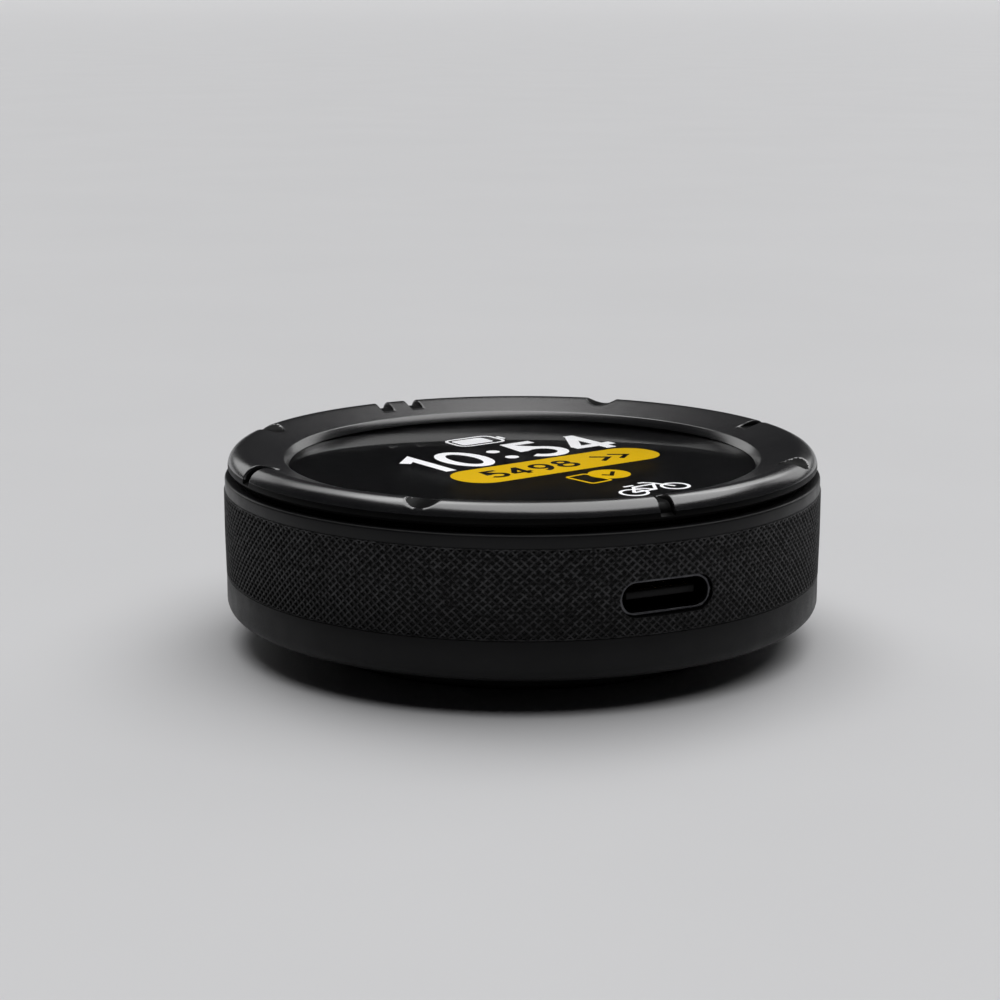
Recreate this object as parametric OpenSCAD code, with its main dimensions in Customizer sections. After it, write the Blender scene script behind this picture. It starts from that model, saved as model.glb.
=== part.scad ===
// Round handlebar navigation computer.
// A puck with a screen under a rocking bezel, a textured grip band round its waist,
// a charging port in the band, and a round foot that twists onto a handlebar mount.
//
// Frame: the origin is the centre of the foot's underside. +Z points up through the
// screen, +Y to the top of the screen (12 o'clock), and the port faces -Y.

/* [Case heights] */
// Height of the foot below the case
foot_h = 3; // [2.8:0.1:4.4]
// Height of the plain ring between the foot and the grip band
lower_ring_h = 3.75; // [2.75:0.05:4.2]
// Height of the textured grip band
grip_h = 7.95; // [6.6:0.05:10]
// Height of the trim ring above the grip band
trim_h = 1.2; // [1:0.05:1.6]
// Open gap between the trim ring and the bezel, which lets the face rock
rock_gap = 0.55; // [0.54:0.01:0.8]
// Height of the bezel
bezel_h = 1.95; // [1.6:0.05:2.6]

/* [Case radii and walls] */
// Outer diameter of the case, over the grip band
body_d = 56; // [46:0.5:68]
// Wall of the grip band
grip_wall = 1.2; // [1:0.05:1.5]
// How far the grip band's lower edge tapers in
grip_taper = 0.08; // [0:0.02:0.2]
// How far the plain rings stand inside the grip band
ring_inset = 0.1; // [0.05:0.05:0.3]
// Wall of the inner housing
housing_wall = 1.6; // [1.3:0.05:2]
// Thickness of the rear case's floor
floor_t = 1.1; // [0.9:0.05:1.3]
// Radius of the rear case's lower outer edge
lower_edge_r = 1.4; // [1:0.1:2.2]
// How far the foot's side stands inside the grip band
foot_inset = 7.3; // [7.2:0.1:8.8]

/* [Bezel] */
// How far the bezel's side stands inside the grip band
bezel_inset = 0.4; // [0.3:0.05:0.7]
// Radial width of the bezel, from its side to the window
bezel_w = 5.75; // [4.9:0.05:6.9]
// Radius of the bezel's outer shoulder
shoulder_r = 1.55; // [1.2:0.05:1.65]
// Angle of the bezel's top face, which falls toward the window
dish_angle = 16.5; // [12:0.5:18]
// Radial width of the steep lip round the window
lip_w = 0.55; // [0.3:0.05:0.8]
// Height of the lens's face above the bezel's underside
lens_rise = 0.2; // [0.15:0.01:0.35]
// Width of the radial marker slots
slot_w = 1.4; // [1:0.1:1.8]
// Depth of the marker slots at the crest
slot_depth = 0.55; // [0.4:0.05:0.7]
// Spacing of the second slot at 12 o'clock from the first
twin_pitch = 3.3; // [2.6:0.1:3.6]
// Radius of the cutter that makes the diagonal scallops
scallop_r = 2.6; // [2:0.1:3.2]
// Depth of the diagonal scallops at the crest
scallop_depth = 0.55; // [0.3:0.05:0.6]

/* [Screen stack] */
// Thickness of the lens
lens_t = 1.1; // [0.9:0.05:1.3]
// How far the lens reaches under the bezel's lip
lens_lap = 0.95; // [0.7:0.05:1]
// Thickness of the lens gasket
gasket_t = 0.3; // [0.2:0.05:0.4]
// Thickness of the display panel
display_t = 1.2; // [1:0.05:1.4]
// Thickness of the cushion behind the display
cushion_t = 0.2; // [0.1:0.05:0.3]
// Thickness of the face carrier's tray
tray_t = 0.6; // [0.5:0.05:0.7]

/* [Rocking frame] */
// Radius of the pivot pins
pin_r = 0.6; // [0.5:0.05:0.7]
// Radial running clearance of a pivot pin in its lug
pin_clear = 0.03; // [0.02:0.01:0.08]
// Height of the gimbal ring
gimbal_h = 1.8; // [1.6:0.05:2]
// Radial width of the gimbal ring
gimbal_w = 1.8; // [1.5:0.05:2]
// Length of the housing's pivot lugs
lug_len = 2; // [1.7:0.05:2.3]
// Width of the pivot lugs
lug_w = 3.2; // [2.8:0.1:3.6]

/* [Electronics] */
// Thickness of the circuit board
board_t = 0.8; // [0.6:0.05:1]
// Height of the tallest parts under the board
parts_h = 1.5; // [1.4:0.05:1.6]
// Radius of the snap domes
dome_r = 2.2; // [1.8:0.1:2.5]
// Height of the snap domes
dome_h = 0.4; // [0.3:0.05:0.45]
// Width of the charging connector's shell
usb_w = 8.94; // [8.94:0.01:8.94]
// Height of the charging connector's shell
usb_h = 3.16; // [3.16:0.01:3.16]
// Length of the charging connector's shell
usb_len = 7.3; // [6.5:0.1:8]
// Sheet thickness of the charging connector's shell
usb_wall = 0.3; // [0.25:0.01:0.32]
// Depth of the connector's mouth inside the grip band's face
port_recess = 0.7; // [0.4:0.05:1]
// Clearance round the connector in the case's cut-out
port_clear = 0.05; // [0.03:0.01:0.2]

/* [Foot] */
// How far the rubber pad stands out of the foot
pad_proud = 0.4; // [0.2:0.05:0.6]
// Depth of the pad's groove in the foot
pad_seat = 0.5; // [0.3:0.05:0.6]
// Radial width of the pad
pad_w = 4.8; // [4.6:0.1:5]
// Width of the foot's rim outside the pad
pad_rim = 1.3; // [1:0.05:1.5]
// Wall between the pad and the mount socket
socket_wall = 1.6; // [1.2:0.05:2]
// Depth of the mount socket
socket_depth = 2.2; // [1.8:0.05:2.3]
// Radial reach of the socket's locking lugs
bayonet_reach = 1.8; // [1.4:0.1:2.2]
// Thickness of the socket's locking lugs
bayonet_t = 0.9; // [0.7:0.05:1.1]
// Angle that each locking lug spans
bayonet_span = 80; // [60:1:84]

/* [Clearances] */
// Gap between fixed parts that slip together
fit_gap = 0.1; // [0.05:0.01:0.15]
// Gap between the housing and the grip band's bond line
bond_gap = 0.05; // [0.02:0.01:0.1]
// Radial gap between the moving face and what surrounds it
face_gap = 0.6; // [0.5:0.05:0.7]
// Gap between the press pads and the snap domes
press_gap = 0.05; // [0.03:0.01:0.1]
// Gap above the battery
battery_gap = 0.4; // [0.3:0.05:0.6]

/* [Hidden] */
$fn = 96;

// Tilt of the face each way about each of its two hinges, as the joints allow
rock_tilt = 0.75;
// How far the case's edge would drop with both hinges at a limit, and the room kept below it
edge_drop = body_d / 2 * sin(rock_tilt * sqrt(2));
rock_clear = 0.03;

// Levels, from the foot up
case_z = foot_h;
grip_z = case_z + lower_ring_h;
trim_z = grip_z + grip_h;
mouth_z = trim_z + trim_h;
bezel_z = mouth_z + max(rock_gap, edge_drop + rock_clear);
top_z = bezel_z + bezel_h;

// Radii of the case, from the outside in
body_r = body_d / 2;
ring_r = body_r - ring_inset;
housing_r = body_r - grip_wall;
housing_in_r = housing_r - housing_wall;
foot_r = body_r - foot_inset;

// Bezel and screen stack
bezel_r = body_r - bezel_inset;
bezel_edge = 0.3;
window_r = bezel_r - bezel_w;
lip_r = window_r + lip_w;
lens_r = window_r + lens_lap;
pocket_r = lens_r + fit_gap;
lens_top = bezel_z + lens_rise;
lens_z = lens_top - lens_t;
shoulder = min(shoulder_r, bezel_h - bezel_edge - 0.05);
shoulder_c = [bezel_r - shoulder, top_z - shoulder];
crest_p = shoulder_c + shoulder * [-sin(dish_angle), cos(dish_angle)];
lip_z = crest_p[1] - (crest_p[0] - lip_r) * tan(dish_angle);
slot_edge_r = 1;
slot_ledge_z = bezel_z + 0.4;
scallop_tilt = 5;

// Face carrier: a tray under the display with a flange under the bezel
seat_z = lens_z - gasket_t;
flange_t = 0.6;
flange_z = seat_z - flange_t;
flange_r = housing_in_r - face_gap;
display_z = lens_z - display_t;
tray_top = display_z - cushion_t;
tray_z = tray_top - tray_t;
tray_wall = 0.6;
gimbal_r = housing_in_r - lug_len - 0.5;
gimbal_in_r = gimbal_r - gimbal_w;
tray_r = gimbal_in_r - 0.7;
display_r = tray_r - tray_wall - 0.2;
gasket_w = 1.9;
carrier_screw_pcr = (pocket_r + flange_r) / 2;
carrier_screw_r = 0.45;
carrier_head_r = 0.75;
carrier_head_h = 0.45;
carrier_thread = 1.15;

// Rocking frame
pivot_z = flange_z - 1.6;
carrier_lug_len = 1.8;
lug_drop = 1;
lug_bore_r = pin_r + pin_clear;

// Circuit board and what stands on it
board_top = pivot_z - 1.5;
board_z = board_top - board_t;
board_r = housing_in_r - 1.2;
press_pcr = tray_r - 4.7;
press_r = 1;
usb_sink = 0.75;
port_z = board_z - usb_sink;
usb_mouth_y = -(body_r - port_recess);
usb_back_y = usb_mouth_y + usb_len;
port_pad_y = -(housing_in_r - 1.2);
gasket_wide = 1.5;
gasket_high = 0.35;
post_pcr = gimbal_in_r - 1.3;
post_angle = 20;
post_r = 1.5;
post_head_r = 0.85;
post_head_h = 0.4;
post_bore_r = 0.5;
post_bore_depth = 3;

// Rear case and its fixings
floor_top = case_z + floor_t;
rim_top = floor_top + 0.4;
skirt_in_r = housing_r + fit_gap;
spigot_r = housing_in_r - fit_gap;
spigot_w = 1.5;
spigot_in_r = spigot_r - spigot_w;
spigot_top = grip_z + 1.15;
seal_cord_r = 0.42;
seal_groove_h = 1.1;
seal_z = rim_top + seal_groove_h / 2 + 0.4;
seal_groove_r = spigot_r - 0.8;
case_screw_pcr = spigot_in_r - 1.5;
case_boss_r = 1.4;
case_boss_z = case_z + 2.1;
case_boss_top = board_z - 0.2;
case_head_r = 1.05;
case_head_h = 0.8;
case_shank_r = 0.7;

// Foot and its fixings
base_z = pad_proud;
pad_r = foot_r - pad_rim;
pad_in_r = pad_r - pad_w;
pad_pcr = (pad_r + pad_in_r) / 2;
socket_r = pad_in_r - socket_wall;
socket_top = base_z + socket_depth;
base_head_r = 1.7;
base_head_h = 1.1;
base_shank_r = 0.95;
base_boss_r = 1.7;
base_boss_top = floor_top + 2.5;
base_screw_top = base_boss_top - 0.8;

// Battery, in the space between the floor and the board's parts
battery_pad_t = 0.3;
battery_z = floor_top + battery_pad_t;
battery_top = board_z - parts_h - battery_gap;
battery_half_w = pad_pcr - base_boss_r - 0.3;
battery_half_l = battery_half_w - 3;
battery_edge_r = 1.2;
lead_r = 0.35;
lead_x = -7;
lead_pitch = 1.3;
lead_bend = 1;

// Display flex, a U-shaped ribbon from the display's back to the board
flex_w = 8;
flex_t = 0.15;
flex_y = 7.6;
flex_foot = 2;
flex_run = 4;
flex_bend = 0.7;

module ring(r_out, r_in, z_low, z_high) {
    translate([0, 0, z_low])
        difference() {
            cylinder(r = r_out, h = z_high - z_low);
            translate([0, 0, -1])
                cylinder(r = r_in, h = z_high - z_low + 2);
        }
}

module disc(r, z_low, z_high) {
    translate([0, 0, z_low])
        cylinder(r = r, h = z_high - z_low);
}

module box(x, y, z) {
    translate([x[0], y[0], z[0]])
        cube([x[1] - x[0], y[1] - y[0], z[1] - z[0]]);
}

module around(count, radius, first = 0) {
    for (i = [0 : count - 1])
        rotate([0, 0, first + i * 360 / count])
            translate([radius, 0, 0])
                children();
}

// A slot outline with round ends, standing in the XZ plane and run along Y
module stadium(w, h, y_low, y_high) {
    translate([0, y_high, port_z])
        rotate([90, 0, 0])
            linear_extrude(height = y_high - y_low) {
                square([w - h, h], center = true);
                for (side = [-1, 1])
                    translate([side * (w - h) / 2, 0])
                        circle(d = h);
            }
}

module countersunk_pan(head_r, head_h, shank_r, length) {
    cylinder(r = head_r, h = head_h);
    cylinder(r = shank_r, h = length);
}

// Cross recess in a screw's head, sunk into the face at z = 0
module cross_recess(r, depth) {
    for (a = [0, 90])
        rotate([0, 0, a])
            translate([-r, -r / 4, -0.01])
                cube([2 * r, r / 2, depth]);
}

// ---- Face: the bezel, the screen and the tray that rocks ----

module bezel_outline() {
    intersection() {
        translate(shoulder_c)
            circle(r = shoulder);
        translate([crest_p[0], shoulder_c[1]])
            square([shoulder + 1, shoulder + 1]);
    }
    polygon([[pocket_r, bezel_z], [bezel_r - bezel_edge, bezel_z],
             [bezel_r, bezel_z + bezel_edge], [bezel_r, shoulder_c[1]],
             shoulder_c, crest_p, [lip_r, lip_z], [window_r, lens_top],
             [pocket_r, lens_top]]);
}

// What a marker slot removes: all that lies outside a smaller rounded corner
module slot_cutter() {
    floor_r = bezel_r - slot_depth;
    floor_z = top_z - slot_depth;
    intersection() {
        rotate_extrude()
            difference() {
                translate([window_r - 1, slot_ledge_z])
                    square([bezel_r - window_r + 2, top_z - slot_ledge_z + 1]);
                square([floor_r - slot_edge_r, floor_z]);
                square([floor_r, floor_z - slot_edge_r]);
                translate([floor_r - slot_edge_r, floor_z - slot_edge_r])
                    circle(r = slot_edge_r);
            }
        box([0, body_r], [-slot_w / 2, slot_w / 2], [0, top_z + 1]);
    }
}

module scallop_cutter() {
    translate([shoulder_c[0], 0, top_z - scallop_depth + scallop_r])
        rotate([0, 90 + scallop_tilt, 0])
            translate([0, 0, -2.6])
                cylinder(r = scallop_r, h = 8);
}

module bezel_ring() {
    color("#1c1c1f")
        difference() {
            rotate_extrude()
                bezel_outline();
            for (a = [0 : 90 : 270])
                rotate([0, 0, a])
                    slot_cutter();
            rotate([0, 0, 90])
                translate([0, twin_pitch, 0])
                    slot_cutter();
            for (a = [45 : 90 : 315])
                rotate([0, 0, a])
                    scallop_cutter();
            around(8, carrier_screw_pcr, 22.5)
                disc(carrier_screw_r + 0.03, bezel_z - 1, bezel_z + carrier_thread + 0.1);
        }
}

module lens() {
    color([0.05, 0.05, 0.06, 0.6])
        disc(lens_r, lens_z, lens_top);
}

module lens_gasket() {
    color("#303030")
        ring(lens_r, lens_r - gasket_w, seat_z, lens_z);
}

module display_panel() {
    color("#20242c")
        disc(display_r, display_z, lens_z);
}

module flex_slot(z_low, z_high) {
    slot_gap = 0.4;
    box([-flex_w / 2 - slot_gap, flex_w / 2 + slot_gap],
        [flex_y - 0.8, flex_y + flex_foot + slot_gap], [z_low, z_high]);
}

module display_cushion() {
    color("#4a4a4a")
        difference() {
            disc(display_r, tray_top, display_z);
            flex_slot(tray_top - 1, display_z + 1);
        }
}

module face_carrier() {
    color("#3a3d42")
        difference() {
            union() {
                ring(flange_r, tray_r - tray_wall, flange_z, bezel_z);
                ring(tray_r, tray_r - tray_wall, tray_z, bezel_z);
                disc(tray_r, tray_z, tray_top);
                for (side = [-1, 1])
                    carrier_lug(side);
            }
            disc(pocket_r, seat_z, bezel_z + 1);
            flex_slot(tray_z - 1, tray_top + 1);
            around(8, carrier_screw_pcr, 22.5) {
                disc(carrier_screw_r + 0.05, flange_z - 1, bezel_z + 1);
                disc(carrier_head_r + 0.05, flange_z - 1, flange_z + carrier_head_h);
            }
            for (side = [-1, 1])
                rotate([90, 0, side * 90 + 90])
                    translate([0, pivot_z, tray_r - carrier_lug_len - 1])
                        cylinder(r = lug_bore_r, h = carrier_lug_len + 2);
        }
}

// One of the carrier's two lugs, at the top or the bottom of the screen
module carrier_lug(side) {
    intersection() {
        disc(tray_r, pivot_z - lug_drop, tray_z + 0.1);
        rotate([0, 0, side * 90])
            box([tray_r - carrier_lug_len, tray_r + 1], [-lug_w / 2, lug_w / 2],
                [pivot_z - lug_drop, tray_z + 0.1]);
    }
}

module carrier_screws() {
    color("silver")
        around(8, carrier_screw_pcr, 22.5)
            translate([0, 0, flange_z])
                difference() {
                    countersunk_pan(carrier_head_r, carrier_head_h - 0.02, carrier_screw_r,
                                    bezel_z + carrier_thread - flange_z);
                    cross_recess(0.45, 0.25);
                }
}

module press_pads() {
    color("#202020")
        around(4, press_pcr)
            disc(press_r, board_top + dome_h + press_gap, tray_z);
}

// ---- Gimbal: carries the face on two crossed pairs of pins ----

module pin_x(r_low, r_high, radius) {
    translate([r_low, 0, pivot_z])
        rotate([0, 90, 0])
            cylinder(r = radius, h = r_high - r_low);
}

module gimbal_ring() {
    color("#8a8d92")
        difference() {
            ring(gimbal_r, gimbal_in_r, pivot_z - gimbal_h / 2, pivot_z + gimbal_h / 2);
            for (a = [0 : 90 : 270])
                rotate([0, 0, a])
                    pin_x(gimbal_in_r - 1, gimbal_r + 1, pin_r);
        }
}

module case_pivot_pins() {
    color("#c9c9cc")
        for (a = [0, 180])
            rotate([0, 0, a])
                pin_x(gimbal_in_r + 0.2, housing_in_r + 0.6, pin_r);
}

module face_pivot_pins() {
    color("#c9c9cc")
        for (a = [90, 270])
            rotate([0, 0, a])
                pin_x(tray_r - carrier_lug_len + 0.2, gimbal_r - 0.2, pin_r);
}

// ---- Case: trim, grip, housing and rear shell ----

module upper_trim_ring() {
    edge = 0.3;
    color("#17171a")
        rotate_extrude()
            polygon([[housing_r + bond_gap, trim_z], [ring_r, trim_z],
                     [ring_r, mouth_z - edge], [ring_r - edge, mouth_z],
                     [housing_r + bond_gap, mouth_z]]);
}

module port_cutout(y_low, y_high) {
    stadium(usb_w + 2 * port_clear, usb_h + 2 * port_clear, y_low, y_high);
}

module grip_band() {
    color("#111113")
        difference() {
            rotate_extrude()
                polygon([[housing_r + bond_gap, grip_z], [body_r - grip_taper, grip_z],
                         [body_r, grip_z + grip_h / 2], [body_r, trim_z],
                         [housing_r + bond_gap, trim_z]]);
            port_cutout(-body_r - 1, -housing_r + 3);
        }
}

module main_housing() {
    color("#26272b")
        difference() {
            union() {
                ring(housing_r, housing_in_r, rim_top, mouth_z);
                for (a = [0, 180])
                    rotate([0, 0, a])
                        intersection() {
                            box([housing_in_r - lug_len, housing_r - 0.2],
                                [-lug_w / 2, lug_w / 2],
                                [pivot_z - lug_drop, pivot_z + lug_drop]);
                            disc(housing_r - 0.2, 0, top_z);
                        }
                for (a = [45 : 90 : 315])
                    rotate([0, 0, a])
                        case_boss();
                port_pad();
            }
            for (a = [0, 180])
                rotate([0, 0, a])
                    pin_x(housing_in_r - lug_len - 1, housing_r + 1, lug_bore_r);
            around(4, case_screw_pcr, 45)
                disc(case_shank_r + 0.03, case_boss_z - 1, case_boss_top - 0.8);
            port_cutout(-body_r - 1, port_pad_y + 1);
        }
}

// A screw boss tied to the housing's wall by a web above the rear case's spigot
module case_boss() {
    web_z = spigot_top + 0.2;
    translate([case_screw_pcr, 0, 0])
        disc(case_boss_r, case_boss_z, case_boss_top);
    box([case_screw_pcr, housing_in_r + 0.3], [-case_boss_r, case_boss_r],
        [web_z, case_boss_top]);
}

// The flat inside the housing's wall that the port's gasket seals on
module port_pad() {
    half_w = usb_w / 2 + gasket_wide + 0.6;
    half_h = usb_h / 2 + gasket_high + 0.1;
    intersection() {
        box([-half_w, half_w], [-housing_r, port_pad_y], [port_z - half_h, port_z + half_h]);
        disc(housing_r - 0.2, 0, top_z);
    }
}

module rocker_seal() {
    color("#0c0c0c")
        ring(housing_r - 0.2, housing_in_r + 0.1, mouth_z, bezel_z - 0.03);
}

module rear_outline() {
    corner = [ring_r - lower_edge_r, case_z + lower_edge_r];
    difference() {
        polygon([[0, case_z], [ring_r, case_z], [ring_r, grip_z], [skirt_in_r, grip_z],
                 [skirt_in_r, rim_top], [spigot_r, rim_top],
                 [spigot_r, seal_z - seal_groove_h / 2],
                 [seal_groove_r, seal_z - seal_groove_h / 2],
                 [seal_groove_r, seal_z + seal_groove_h / 2],
                 [spigot_r, seal_z + seal_groove_h / 2], [spigot_r, spigot_top],
                 [spigot_in_r, spigot_top], [spigot_in_r, floor_top], [0, floor_top]]);
        difference() {
            translate([corner[0], case_z - 1])
                square([lower_edge_r + 1, lower_edge_r + 1]);
            translate(corner)
                circle(r = lower_edge_r);
        }
    }
}

module posts(radius, z_low, z_high) {
    for (side = [0, 180])
        for (tilt = [-post_angle, post_angle])
            rotate([0, 0, side + tilt])
                translate([post_pcr, 0, 0])
                    disc(radius, z_low, z_high);
}

module rear_case() {
    color("#1a1a1d")
        difference() {
            union() {
                rotate_extrude()
                    rear_outline();
                posts(post_r, floor_top - 0.1, board_z);
                around(4, pad_pcr)
                    disc(base_boss_r, floor_top - 0.1, base_boss_top);
                around(4, case_screw_pcr, 45)
                    disc(case_boss_r, floor_top - 0.1, case_boss_z - fit_gap);
            }
            posts(post_bore_r, board_z - post_bore_depth, board_z + 1);
            around(4, pad_pcr)
                disc(base_shank_r + 0.05, case_z - 1, base_screw_top + 0.2);
            around(4, case_screw_pcr, 45) {
                disc(case_shank_r + 0.1, case_z - 1, case_boss_z + 1);
                disc(case_head_r + 0.1, case_z - 1, case_z + case_head_h + 0.1);
            }
            port_room();
        }
}

// Room for the port through the rear case's spigot
module port_room() {
    half_w = usb_w / 2 + gasket_wide + 0.8;
    box([-half_w, half_w], [-spigot_r - 0.05, -spigot_in_r + 1.5],
        [port_z - usb_h / 2 - gasket_high - 0.2, top_z]);
}

module case_seal() {
    color("#5a2020")
        rotate_extrude()
            translate([spigot_r + 0.07 - seal_cord_r, seal_z])
                circle(r = seal_cord_r);
}

module case_screws() {
    color("silver")
        around(4, case_screw_pcr, 45)
            translate([0, 0, case_z + 0.1])
                difference() {
                    countersunk_pan(case_head_r, case_head_h, case_shank_r,
                                    case_boss_top - 1.2 - case_z);
                    cross_recess(0.7, 0.4);
                }
}

// ---- Electronics ----

module main_board() {
    usb_half = usb_w / 2 + 0.2;
    gasket_half = usb_w / 2 + gasket_wide + 0.3;
    color("#1f5a36")
        difference() {
            disc(board_r, board_z, board_top);
            box([-usb_half, usb_half], [-body_r, usb_back_y + 0.2], [board_z - 1, board_top + 1]);
            box([-gasket_half, gasket_half], [-body_r, port_pad_y + 1.3],
                [board_z - 1, board_top + 1]);
            posts(post_bore_r + 0.1, board_z - 1, board_top + 1);
        }
}

module board_screws() {
    color("silver")
        difference() {
            union() {
                posts(post_head_r, board_top, board_top + post_head_h);
                posts(post_bore_r - 0.02, board_z - post_bore_depth + 0.3, board_top + 0.1);
            }
            posts(0.4, board_top + 0.2, board_top + 1);
        }
}

module snap_domes() {
    color("#d8d4c8")
        around(4, press_pcr)
            translate([0, 0, board_top])
                cylinder(r1 = dome_r, r2 = dome_r - 1, h = dome_h);
}

module processor_chips() {
    color("#2c2c30") {
        box([-10, -3], [-1, 6], [board_z - 0.9, board_z]);
        box([-9, -4], [-8, -3.5], [board_z - 0.8, board_z]);
        box([-1.5, 2.5], [0, 4], [board_z - 0.7, board_z]);
    }
}

module shield_can() {
    color("#b9bcc0")
        box([1, 11.5], [-10.5, -2.5], [board_z - 1.4, board_z]);
}

module sensor_chips() {
    color("#35353a") {
        box([-1.5, 1.5], [-4, -1], [board_top, board_top + 0.9]);
        box([4, 6.5], [-3, -0.5], [board_top, board_top + 0.8]);
    }
}

module sounder() {
    color("#77736a")
        translate([8.4, 6, 0])
            difference() {
                disc(4.2, board_z - parts_h, board_z);
                disc(0.6, board_z - parts_h - 1, board_z - parts_h + 0.7);
            }
}

// The ribbon's side view, in Y and Z, extruded across its width
module display_flex() {
    low_z = board_top + 0.75;
    leg_y = flex_y;
    color("#a8702a")
        translate([-flex_w / 2, 0, 0])
            rotate([90, 0, 90])
                linear_extrude(height = flex_w) {
                    translate([leg_y - flex_bend - flex_run, low_z])
                        square([flex_run, flex_t]);
                    intersection() {
                        translate([leg_y - flex_bend, low_z + flex_bend])
                            difference() {
                                circle(r = flex_bend);
                                circle(r = flex_bend - flex_t);
                            }
                        translate([leg_y - flex_bend, low_z])
                            square([flex_bend, flex_bend]);
                    }
                    translate([leg_y - flex_t, low_z + flex_bend])
                        square([flex_t, display_z - low_z - flex_bend]);
                    translate([leg_y - flex_t, display_z - flex_t])
                        square([flex_foot, flex_t]);
                }
}

module flex_connector() {
    back_y = flex_y - flex_bend - flex_run;
    color("#d9d2bf")
        box([-flex_w / 2 - 0.6, flex_w / 2 + 0.6], [back_y, back_y + 2],
            [board_top, board_top + 0.75]);
}

module battery_cell() {
    side = battery_half_w - battery_edge_r;
    long = battery_half_l - battery_edge_r;
    color("#7d8590")
        translate([0, 0, battery_z])
            linear_extrude(height = battery_top - battery_z) {
                square([2 * side, 2 * battery_half_l], center = true);
                square([2 * battery_half_w, 2 * long], center = true);
                for (x = [-side, side])
                    for (y = [-long, long])
                        translate([x, y])
                            circle(r = battery_edge_r);
            }
}

module battery_pad() {
    inset = 1.5;
    color("#b8b8b0")
        box([inset - battery_half_w, battery_half_w - inset],
            [inset - battery_half_l, battery_half_l - inset], [floor_top, battery_z]);
}

module battery_board() {
    color("#2b6b3f")
        box([-9.5, 4], [battery_half_l, battery_half_l + 0.8], [battery_z + 0.6, battery_top - 0.6]);
}

// Two wires from the battery's board up to the connector under the main board
module battery_leads() {
    start_y = battery_half_l + 0.8;
    start_z = (battery_z + battery_top) / 2;
    color("#a03028")
        for (x = [lead_x - lead_pitch / 2, lead_x + lead_pitch / 2])
            translate([x, start_y, start_z]) {
                rotate([0, 90, 0])
                    translate([-lead_bend, 0, 0])
                        lead_elbow();
                translate([0, lead_bend, lead_bend])
                    cylinder(r = lead_r, h = board_z - parts_h + 0.1 - start_z - lead_bend);
            }
}

// A quarter turn of wire that starts along +Y and ends along +Z
module lead_elbow() {
    rotate_extrude(angle = 90)
        translate([lead_bend, 0])
            circle(r = lead_r);
}

module battery_connector() {
    centre_y = battery_half_l + 0.8 + lead_bend;
    color("#e4e0d4")
        box([lead_x - 1.8, lead_x + 1.8], [centre_y - 1.2, centre_y + 1.2],
            [board_z - parts_h + 0.1, board_z]);
}

module usb_shell() {
    back_t = 0.6;
    color("#c4c6c9")
        difference() {
            stadium(usb_w, usb_h, usb_mouth_y, usb_back_y);
            stadium(usb_w - 2 * usb_wall, usb_h - 2 * usb_wall, usb_mouth_y - 1,
                    usb_back_y - back_t);
        }
}

module usb_tongue() {
    back_t = 0.6;
    color("#101010")
        box([-3.35, 3.35], [usb_mouth_y + 0.9, usb_back_y - back_t],
            [port_z - 0.35, port_z + 0.35]);
}

module port_gasket() {
    half_w = usb_w / 2 + gasket_wide;
    half_h = usb_h / 2 + gasket_high;
    color("#2a2a2a")
        difference() {
            box([-half_w, half_w], [port_pad_y, port_pad_y + 1],
                [port_z - half_h, port_z + half_h]);
            stadium(usb_w + 0.04, usb_h + 0.04, port_pad_y - 1, port_pad_y + 2);
        }
}

// ---- Foot ----

module mount_base() {
    edge = 0.3;
    color("#131315")
        difference() {
            rotate_extrude()
                polygon([[0, base_z], [foot_r - edge, base_z], [foot_r, base_z + edge],
                         [foot_r, case_z], [0, case_z]]);
            ring(pad_r, pad_in_r, base_z - 1, base_z + pad_seat);
            difference() {
                disc(socket_r, base_z - 1, socket_top);
                for (a = [0, 180])
                    rotate([0, 0, a])
                        bayonet_lug();
            }
            around(4, pad_pcr) {
                disc(base_shank_r + 0.15, base_z, case_z + 1);
                disc(base_head_r + 0.15, base_z, base_z + pad_seat + base_head_h + 0.1);
            }
        }
}

// One locking lug inside the socket's mouth
module bayonet_lug() {
    rotate([0, 0, -bayonet_span / 2])
        rotate_extrude(angle = bayonet_span)
            translate([socket_r - bayonet_reach, base_z])
                square([bayonet_reach + 0.5, bayonet_t]);
}

module foot_pad() {
    color("#1e1e1e")
        ring(pad_r - 0.05, pad_in_r + 0.05, 0, base_z + pad_seat);
}

module base_screws() {
    color("silver")
        around(4, pad_pcr)
            translate([0, 0, base_z + pad_seat + 0.05])
                difference() {
                    countersunk_pan(base_head_r, base_head_h, base_shank_r,
                                    base_screw_top - base_z - pad_seat);
                    cross_recess(1, 0.6);
                }
}

bezel_ring();
lens();
lens_gasket();
display_panel();
display_cushion();
face_carrier();
carrier_screws();
press_pads();
gimbal_ring();
case_pivot_pins();
face_pivot_pins();
upper_trim_ring();
grip_band();
main_housing();
rocker_seal();
rear_case();
case_seal();
case_screws();
main_board();
board_screws();
snap_domes();
processor_chips();
shield_can();
sensor_chips();
sounder();
display_flex();
flex_connector();
battery_cell();
battery_pad();
battery_board();
battery_leads();
battery_connector();
usb_shell();
usb_tongue();
port_gasket();
mount_base();
foot_pad();
base_screws();
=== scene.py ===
from math import asin, atan2, cos, hypot, pi, radians, sin, tan

import bmesh
import bpy
from mathutils import Matrix, Vector


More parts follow.
